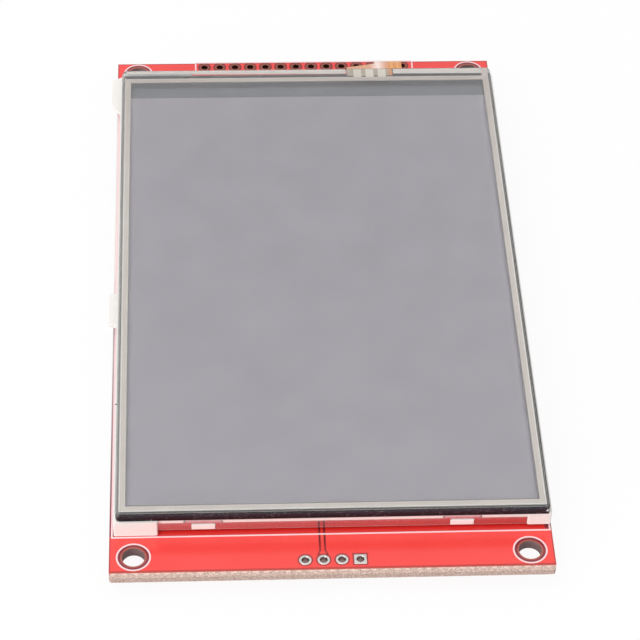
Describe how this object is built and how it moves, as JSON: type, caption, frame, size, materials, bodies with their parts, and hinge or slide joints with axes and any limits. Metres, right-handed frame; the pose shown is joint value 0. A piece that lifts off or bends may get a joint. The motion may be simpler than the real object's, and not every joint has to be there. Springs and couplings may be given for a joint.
{
  "type": "display module",
  "caption": "Flat colour liquid crystal panel with a resistive touch panel on a red circuit board with corner mounting holes and a hole row at each end.",
  "frame": {"origin": "centre of the four mounting holes, on the back face of the board", "axes": "+Z out of the screen, +Y along the long side towards the longer hole row, +X along the short side"},
  "size_m": [0.0625, 0.1086, 0.0089],
  "materials": {
    "board_laminate": "glossy solder mask over glass laminate",
    "plated_tin": "tinned",
    "tape_black": "satin",
    "tape_white": "satin",
    "tray_steel": "bright rolled sheet",
    "frame_white": "satin moulded",
    "film_white": "satin film",
    "clear_plastic": "clear, polished",
    "prism_film": "fine ribbed film",
    "polarizer_film": "glossy film",
    "cell_glass": "polished",
    "touch_glass": "polished",
    "touch_film": "clear film",
    "border_print": "satin print",
    "silver_print": "satin",
    "flex_amber": "glossy coverlay",
    "solder": "bright",
    "chip_black": "moulded",
    "silicon": "polished",
    "socket_plastic": "moulded",
    "contact_gold": "plated",
    "capacitor_ceramic": "matt fired",
    "resistor_ceramic": "glazed"
  },
  "bodies": {
    "root": {"circuit_board": "board_laminate", "mounting_tape": "tape_white", "backlight_tray": "tray_steel", "backlight_frame": "frame_white", "reflector_sheet": "film_white", "light_guide": "clear_plastic", "diffuser_sheet": "film_white", "prism_sheet_lower": "prism_film", "prism_sheet_upper": "prism_film", "backlight_leds": "frame_white", "backlight_strip": "flex_amber", "rim_tape": "tape_black", "rear_polarizer": "polarizer_film", "array_glass": "cell_glass", "colour_filter_glass": "cell_glass", "front_polarizer": "polarizer_film", "driver_chip": "silicon", "ledge_cover_tape": "tape_black", "display_flex": "flex_amber", "display_flex_joints": "solder", "touch_adhesive": "tape_black", "touch_glass": "touch_glass", "touch_border": "border_print", "touch_electrodes": "silver_print", "touch_film": "touch_film", "touch_flex": "flex_amber", "touch_flex_joints": "solder", "card_socket_shell": "tray_steel", "card_socket_body": "socket_plastic", "card_socket_contacts": "contact_gold", "touch_controller_body": "chip_black", "touch_controller_leads": "plated_tin", "regulator_body": "chip_black", "regulator_leads": "plated_tin", "transistor_body": "chip_black", "transistor_leads": "plated_tin", "resistor_bodies": "resistor_ceramic", "resistor_ends": "plated_tin", "capacitor_bodies": "capacitor_ceramic", "capacitor_ends": "plated_tin"}
  },
  "joints": []
}
